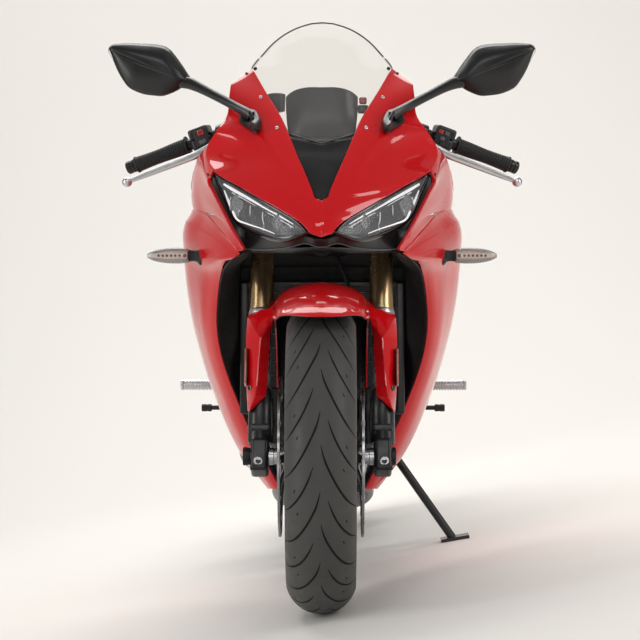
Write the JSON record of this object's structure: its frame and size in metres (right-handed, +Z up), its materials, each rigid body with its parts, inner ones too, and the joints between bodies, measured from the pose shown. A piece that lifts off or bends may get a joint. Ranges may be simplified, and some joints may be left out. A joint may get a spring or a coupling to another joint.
{
  "type": "sport motorcycle",
  "caption": "Fully faired sport motorcycle leaning on its side stand, with clip-on bars, twin headlamps, clear screen and spoked wheels.",
  "frame": {"origin": "on the ground under the centre of the bounding box, as the machine leans on its side stand", "axes": "+Y from the headlamps to the tail along the wheels' line, +Z up from the ground, +X to the machine's left, the side it leans to"},
  "size_m": [0.8356, 2.0242, 1.1293],
  "materials": {
    "tyre": "matte tread rubber",
    "wheel_black": "satin black",
    "disc_steel": "brushed",
    "fork_gold": "anodised gold",
    "black_metal": "satin black",
    "steel": "brushed",
    "rubber": "ribbed",
    "aluminium": "satin",
    "black_plastic": "satin",
    "red_paint": "gloss clear coat",
    "amber": "moulded lens",
    "frame_metal": "satin dark grey",
    "engine_metal": "satin dark grey",
    "chain_steel": "oiled",
    "seat_vinyl": "grained",
    "red_lens": "moulded lens",
    "clear_lens": "moulded lens",
    "screen_glass": "clear tint",
    "lamp_glass": "clear",
    "mirror_glass": "mirror"
  },
  "bodies": {
    "chassis": {"main_frame": "frame_metal", "engine": "engine_metal", "radiator": "black_metal", "exhaust": "steel", "swingarm": "frame_metal", "rear_axle": "steel", "drive_chain": "chain_steel", "rear_caliper": "black_metal", "rear_hugger": "black_plastic", "rear_shock": "black_metal", "subframe": "frame_metal", "fuel_tank": "red_paint", "rider_seat": "seat_vinyl", "pillion_seat": "seat_vinyl", "tail_fairing": "red_paint", "tail_lamp": "red_lens", "plate_hanger": "black_plastic", "turn_signals": "clear_lens", "front_cowl": "red_paint", "windscreen": "screen_glass", "headlamps": "lamp_glass", "nose_trim": "black_plastic", "upper_side_panels": "red_paint", "side_fairing_left": "red_paint", "side_fairing_right": "red_paint", "belly_pan": "black_plastic", "instrument_cluster": "black_plastic", "cowl_stay": "black_metal", "mirrors": "black_plastic", "mirror_glass": "mirror_glass", "footrests": "frame_metal", "foot_controls": "aluminium"},
    "steering": {"fork_upper_tubes": "fork_gold", "fork_bottoms": "black_metal", "front_axle": "steel", "front_calipers": "black_metal", "lower_triple_clamp": "black_metal", "upper_triple_clamp": "black_metal", "clip_on_bars": "black_metal", "handlebar_grips": "rubber", "hand_levers": "aluminium", "handlebar_controls": "black_plastic", "brake_reservoir": "black_plastic", "front_mudguard": "red_paint", "front_reflectors": "amber"},
    "front_wheel": {"front_tyre": "tyre", "front_rim": "wheel_black", "front_brake_discs": "disc_steel"},
    "rear_wheel": {"rear_tyre": "tyre", "rear_rim": "wheel_black", "rear_brake_disc": "disc_steel", "rear_sprocket": "disc_steel"},
    "side_stand": {"side_stand": "black_metal"},
    "fuel_lid": {"fuel_lid": "aluminium"}
  },
  "joints": [
    {"name": "steering_turn", "type": "hinge", "parent": "chassis", "child": "steering", "pos_m": [-0.0294, -0.46464, 0.77172], "axis": [0.158, 0.4147, 0.8961], "range_deg": [-27, 27]},
    {"name": "front_wheel_spin", "type": "hinge", "parent": "steering", "child": "front_wheel", "pos_m": [-0.11494, -0.7221, 0.28657], "axis": [0.9848, 0, -0.1736], "continuous": true},
    {"name": "rear_wheel_spin", "type": "hinge", "parent": "chassis", "child": "rear_wheel", "pos_m": [-0.11228, 0.6779, 0.30164], "axis": [0.9848, 0, -0.1736], "continuous": true},
    {"name": "side_stand_fold", "type": "hinge", "parent": "chassis", "child": "side_stand", "pos_m": [0.02607, 0.0499, 0.21094], "axis": [0.9016, -0.0201, 0.4321], "range_deg": [0, 98]},
    {"name": "fuel_lid_hinge", "type": "hinge", "parent": "chassis", "child": "fuel_lid", "pos_m": [-0.0111, -0.2151, 0.87549], "axis": [0.9848, 0, -0.1736], "range_deg": [0, 95]}
  ]
}
